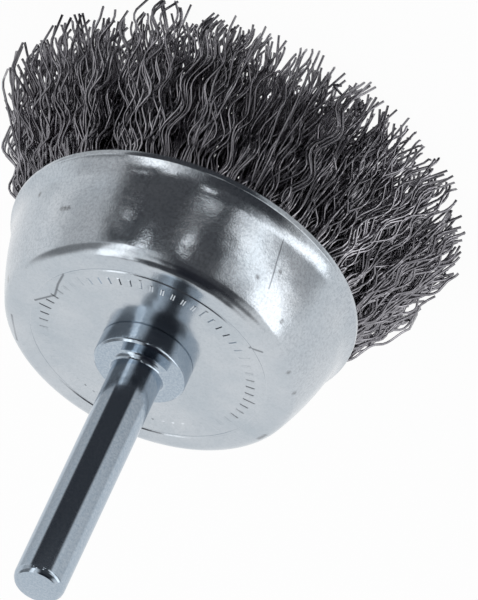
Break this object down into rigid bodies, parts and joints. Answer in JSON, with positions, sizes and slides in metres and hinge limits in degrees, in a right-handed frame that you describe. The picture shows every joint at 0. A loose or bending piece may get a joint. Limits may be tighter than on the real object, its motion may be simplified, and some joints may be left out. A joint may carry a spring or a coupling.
{
  "type": "cup brush",
  "caption": "Shank-mounted wire cup brush: a plain round drill shank with a collar, a drawn flared steel cup and a ring of crimped steel wires folded over a hidden ring",
  "frame": {"origin": "on the brush's axis, in the plane of the cut wire ends that the brush stands on", "axes": "+Z runs from the wire ends through the cup and up the shank; X and Y are across the cup"},
  "size_m": [0.0546, 0.0547, 0.063],
  "materials": {
    "turned_steel": "bright turned and polished steel",
    "plated_steel": "bluish zinc plating on drawn sheet, satin with fine marks",
    "inner_steel": "plain pressed sheet",
    "ring_steel": "plain drawn wire",
    "wire_steel": "dark tempered crimped steel wire"
  },
  "bodies": {
    "root": {"crimped_wires_01": "wire_steel", "crimped_wires_02": "wire_steel", "crimped_wires_03": "wire_steel", "crimped_wires_04": "wire_steel", "crimped_wires_05": "wire_steel", "crimped_wires_06": "wire_steel", "crimped_wires_07": "wire_steel", "crimped_wires_08": "wire_steel", "crimped_wires_09": "wire_steel", "crimped_wires_10": "wire_steel", "crimped_wires_11": "wire_steel", "crimped_wires_12": "wire_steel", "crimped_wires_13": "wire_steel", "crimped_wires_14": "wire_steel", "crimped_wires_15": "wire_steel", "crimped_wires_16": "wire_steel", "cup": "plated_steel", "inner_cup": "inner_steel", "retaining_ring": "ring_steel", "shank": "turned_steel"}
  },
  "joints": []
}
